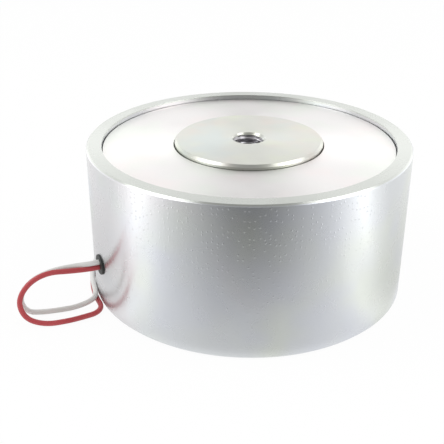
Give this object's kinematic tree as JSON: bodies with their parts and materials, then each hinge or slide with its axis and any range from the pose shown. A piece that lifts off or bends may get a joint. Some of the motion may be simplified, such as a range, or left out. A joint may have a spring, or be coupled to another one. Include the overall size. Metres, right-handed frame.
{
  "type": "holding electromagnet",
  "caption": "Round flat-faced holding electromagnet: turned steel pot with centre pole, enclosed coil, threaded hole through the middle and two free leads from a bush in the wall.",
  "frame": {"origin": "centre of the base face", "axes": "+Z from the base face towards the holding face, along the pot's axis; the leads leave the wall low on the -X side, a little towards -Y"},
  "size_m": [0.0953, 0.1095, 0.038],
  "materials": {
    "pot_steel": "turned, bright zinc",
    "pole_steel": "faced, yellowish passivated zinc",
    "plate_aluminium": "fine turned",
    "bobbin_plastic": "moulded nylon",
    "winding_copper": "enamelled copper wire",
    "wrap_tape": "polyester tape",
    "sleeving": "braided glass sleeving",
    "shrink_sleeve": "heat-shrunk tube",
    "solder": "soldered",
    "resin": "cast epoxy",
    "bush_rubber": "moulded black rubber",
    "red_insulation": "satin extruded PVC",
    "white_insulation": "satin extruded PVC",
    "tinned_copper": "tinned strands"
  },
  "bodies": {
    "root": {"pot_housing": "pot_steel", "pole_core": "pole_steel", "cover_plate": "plate_aluminium", "coil_bobbin": "bobbin_plastic", "coil_winding": "winding_copper", "winding_wrap": "wrap_tape", "start_tail": "winding_copper", "start_sleeving": "sleeving", "finish_tail": "winding_copper", "red_lead_inner": "red_insulation", "white_lead_inner": "white_insulation", "red_splice": "solder", "white_splice": "solder", "red_splice_sleeve": "shrink_sleeve", "white_splice_sleeve": "shrink_sleeve", "potting_resin": "resin", "lead_bush": "bush_rubber", "red_lead": "red_insulation", "white_lead": "white_insulation", "red_lead_coil": "red_insulation", "white_lead_coil": "white_insulation", "red_lead_tip": "tinned_copper", "white_lead_tip": "tinned_copper"}
  },
  "joints": []
}
